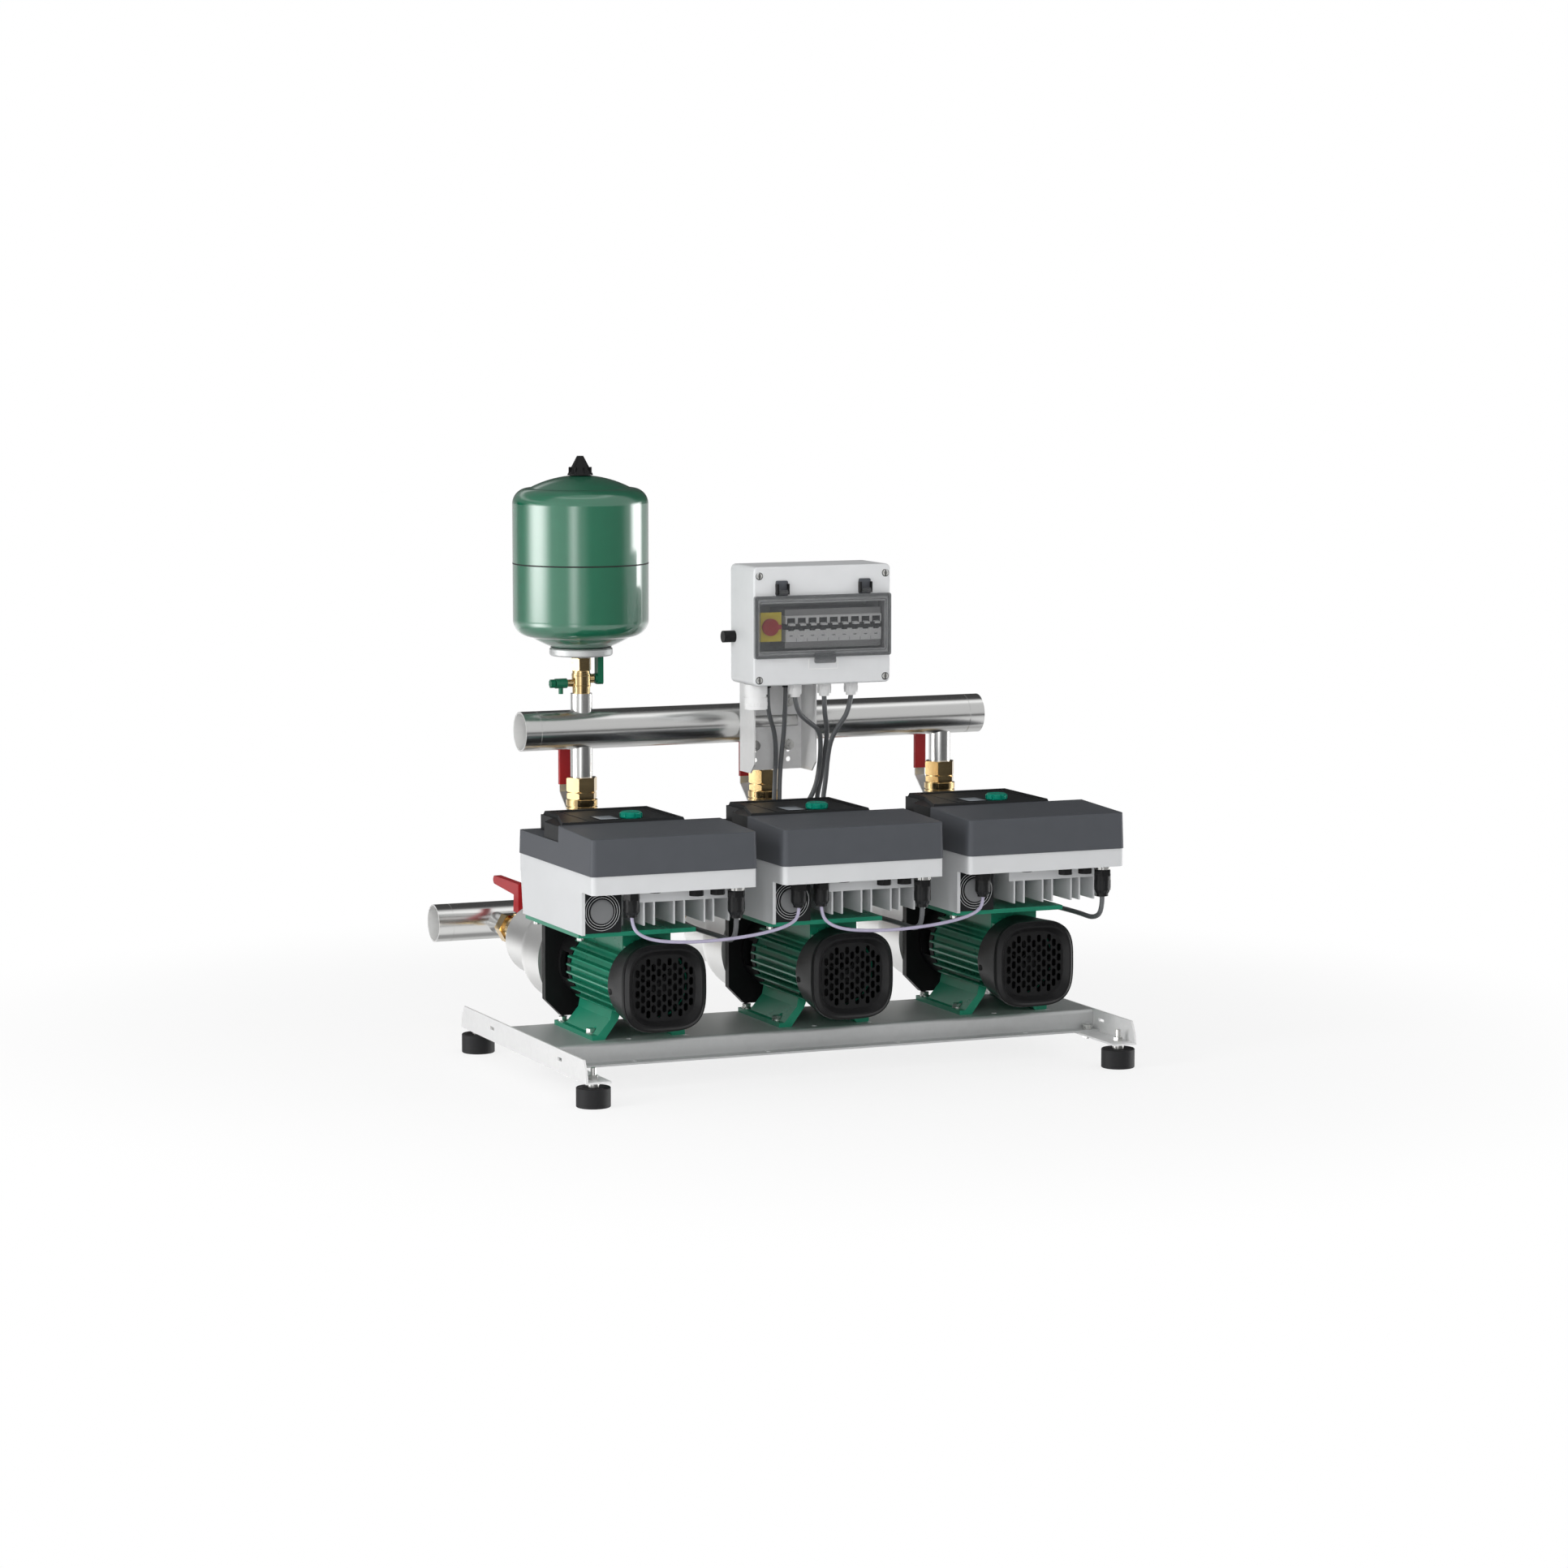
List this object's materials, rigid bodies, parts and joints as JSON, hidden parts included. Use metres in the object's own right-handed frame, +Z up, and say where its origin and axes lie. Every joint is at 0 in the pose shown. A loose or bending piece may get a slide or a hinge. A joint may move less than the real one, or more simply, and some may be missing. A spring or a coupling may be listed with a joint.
{
  "type": "booster pump set",
  "caption": "Booster pump set: horizontal multistage pumps with drives on a channel base, suction and discharge manifolds, diaphragm vessel and control box.",
  "frame": {"origin": "centre of the bounding box at the floor, under the rubber feet", "axes": "+X along the manifolds to the right as seen from the motors, +Y from the motor fans to the suction manifold, +Z up"},
  "size_m": [0.901, 0.8507, 0.924],
  "materials": {
    "galvanised": "matte galvanised",
    "zinc": "zinc plated",
    "rubber_black": "matte",
    "motor_paint": "pearl",
    "stainless": "brushed",
    "rotor_steel": "machined",
    "drive_alloy": "painted light grey",
    "cover_plastic": "satin",
    "knob_plastic": "gloss",
    "lever_red": "gloss",
    "disc_plastic": "satin",
    "cowl_black": "satin",
    "cast_black": "painted black",
    "panel_black": "satin",
    "brass_body": "cast",
    "vessel_green": "gloss",
    "lever_green": "gloss",
    "box_grey": "satin",
    "switch_red": "satin",
    "breaker_white": "satin",
    "window_smoke": "smoked clear",
    "gland_white": "satin",
    "cable_grey": "matte",
    "cable_lilac": "matte"
  },
  "bodies": {
    "set": {"base_channel": "galvanised", "cross_members": "galvanised", "rubber_feet": "rubber_black", "fasteners": "zinc", "pipe_clamps": "zinc", "motor_housing_1": "motor_paint", "pump_casing_1": "stainless", "drive_base_1": "drive_alloy", "drive_cover_1": "cover_plastic", "motor_housing_2": "motor_paint", "pump_casing_2": "stainless", "drive_base_2": "drive_alloy", "drive_cover_2": "cover_plastic", "motor_housing_3": "motor_paint", "pump_casing_3": "stainless", "drive_base_3": "drive_alloy", "drive_cover_3": "cover_plastic", "fan_cowls": "cowl_black", "lanterns": "cast_black", "drive_panels": "panel_black", "valve_bodies": "brass_body", "discharge_manifold": "stainless", "suction_manifold": "stainless", "vessel": "vessel_green", "vessel_flange": "zinc", "vessel_valve": "brass_body", "control_box": "box_grey", "breakers": "breaker_white", "bracket": "galvanised", "black_fittings": "cowl_black", "white_glands": "gland_white", "power_cable_1": "cable_grey", "power_cable_2": "cable_grey", "power_cable_3": "cable_grey", "signal_cable_1": "cable_grey", "signal_cable_2": "cable_grey", "bus_cable_1": "cable_lilac", "bus_cable_2": "cable_lilac"},
    "rotor_1": {"pump_rotor_1": "rotor_steel"},
    "discharge_handle_1": {"discharge_lever_1": "lever_red"},
    "suction_handle_1": {"suction_lever_1": "lever_red"},
    "check_1": {"check_disc_1": "disc_plastic"},
    "knob_1": {"drive_knob_1": "knob_plastic"},
    "rotor_2": {"pump_rotor_2": "rotor_steel"},
    "discharge_handle_2": {"discharge_lever_2": "lever_red"},
    "suction_handle_2": {"suction_lever_2": "lever_red"},
    "check_2": {"check_disc_2": "disc_plastic"},
    "knob_2": {"drive_knob_2": "knob_plastic"},
    "rotor_3": {"pump_rotor_3": "rotor_steel"},
    "discharge_handle_3": {"discharge_lever_3": "lever_red"},
    "suction_handle_3": {"suction_lever_3": "lever_red"},
    "check_3": {"check_disc_3": "disc_plastic"},
    "knob_3": {"drive_knob_3": "knob_plastic"},
    "vessel_handle": {"vessel_lever": "lever_green"},
    "drain_wheel": {"drain_knob": "cowl_black"},
    "switch": {"main_switch": "switch_red"},
    "toggles_1": {"breaker_toggles_1": "cowl_black"},
    "toggles_2": {"breaker_toggles_2": "cowl_black"},
    "toggles_3": {"breaker_toggles_3": "cowl_black"},
    "window": {"control_window": "window_smoke"}
  },
  "joints": [
    {"name": "rotor_spin_1", "type": "hinge", "parent": "set", "child": "rotor_1", "pos_m": [-0.3, -0.20478, 0.161], "axis": [0, 1, 0], "continuous": true},
    {"name": "discharge_valve_turn_1", "type": "hinge", "parent": "set", "child": "discharge_handle_1", "pos_m": [-0.3, -0.02187, 0.362], "axis": [0, 1, 0], "range_deg": [0, 90]},
    {"name": "suction_valve_turn_1", "type": "hinge", "parent": "set", "child": "suction_handle_1", "pos_m": [-0.3, 0.26322, 0.161], "axis": [0, 0, 1], "range_deg": [0, 90]},
    {"name": "check_lift_1", "type": "slide", "parent": "set", "child": "check_1", "axis": [0, 0, 1], "range_m": [0, 0.006], "stiffness_N_per_m": 100, "springref_m": -0.003},
    {"name": "knob_turn_1", "type": "hinge", "parent": "set", "child": "knob_1", "pos_m": [-0.299, -0.22778, 0.4], "axis": [0, 0, 1], "continuous": true},
    {"name": "rotor_spin_2", "type": "hinge", "parent": "set", "child": "rotor_2", "pos_m": [0, -0.20478, 0.161], "axis": [0, 1, 0], "continuous": true},
    {"name": "discharge_valve_turn_2", "type": "hinge", "parent": "set", "child": "discharge_handle_2", "pos_m": [0, -0.02187, 0.362], "axis": [0, 1, 0], "range_deg": [0, 90]},
    {"name": "suction_valve_turn_2", "type": "hinge", "parent": "set", "child": "suction_handle_2", "pos_m": [0, 0.26322, 0.161], "axis": [0, 0, 1], "range_deg": [0, 90]},
    {"name": "check_lift_2", "type": "slide", "parent": "set", "child": "check_2", "axis": [0, 0, 1], "range_m": [0, 0.006], "stiffness_N_per_m": 100, "springref_m": -0.003},
    {"name": "knob_turn_2", "type": "hinge", "parent": "set", "child": "knob_2", "pos_m": [0.001, -0.22778, 0.4], "axis": [0, 0, 1], "continuous": true},
    {"name": "rotor_spin_3", "type": "hinge", "parent": "set", "child": "rotor_3", "pos_m": [0.3, -0.20478, 0.161], "axis": [0, 1, 0], "continuous": true},
    {"name": "discharge_valve_turn_3", "type": "hinge", "parent": "set", "child": "discharge_handle_3", "pos_m": [0.3, -0.02187, 0.362], "axis": [0, 1, 0], "range_deg": [0, 90]},
    {"name": "suction_valve_turn_3", "type": "hinge", "parent": "set", "child": "suction_handle_3", "pos_m": [0.3, 0.26322, 0.161], "axis": [0, 0, 1], "range_deg": [0, 90]},
    {"name": "check_lift_3", "type": "slide", "parent": "set", "child": "check_3", "axis": [0, 0, 1], "range_m": [0, 0.006], "stiffness_N_per_m": 100, "springref_m": -0.003},
    {"name": "knob_turn_3", "type": "hinge", "parent": "set", "child": "knob_3", "pos_m": [0.301, -0.22778, 0.4], "axis": [0, 0, 1], "continuous": true},
    {"name": "vessel_valve_turn", "type": "hinge", "parent": "set", "child": "vessel_handle", "pos_m": [-0.3, -0.02187, 0.586], "axis": [1, 0, 0], "range_deg": [0, 90]},
    {"name": "drain_turn", "type": "hinge", "parent": "set", "child": "drain_wheel", "pos_m": [-0.3, -0.02187, 0.58], "axis": [1, 0, 0], "range_deg": [0, 270]},
    {"name": "switch_turn", "type": "hinge", "parent": "set", "child": "switch", "pos_m": [-0.0605, -0.19878, 0.6695], "axis": [0, 1, 0], "range_deg": [0, 90]},
    {"name": "breaker_flip_1", "type": "hinge", "parent": "set", "child": "toggles_1", "pos_m": [0, -0.18677, 0.66862], "axis": [1, 0, 0], "range_deg": [0, 45]},
    {"name": "breaker_flip_2", "type": "hinge", "parent": "set", "child": "toggles_2", "pos_m": [0, -0.18677, 0.66862], "axis": [1, 0, 0], "range_deg": [0, 45]},
    {"name": "breaker_flip_3", "type": "hinge", "parent": "set", "child": "toggles_3", "pos_m": [0, -0.18677, 0.66862], "axis": [1, 0, 0], "range_deg": [0, 45]},
    {"name": "window_swing", "type": "hinge", "parent": "set", "child": "window", "pos_m": [0, -0.20447, 0.722], "axis": [-1, 0, 0], "range_deg": [0, 110]}
  ]
}
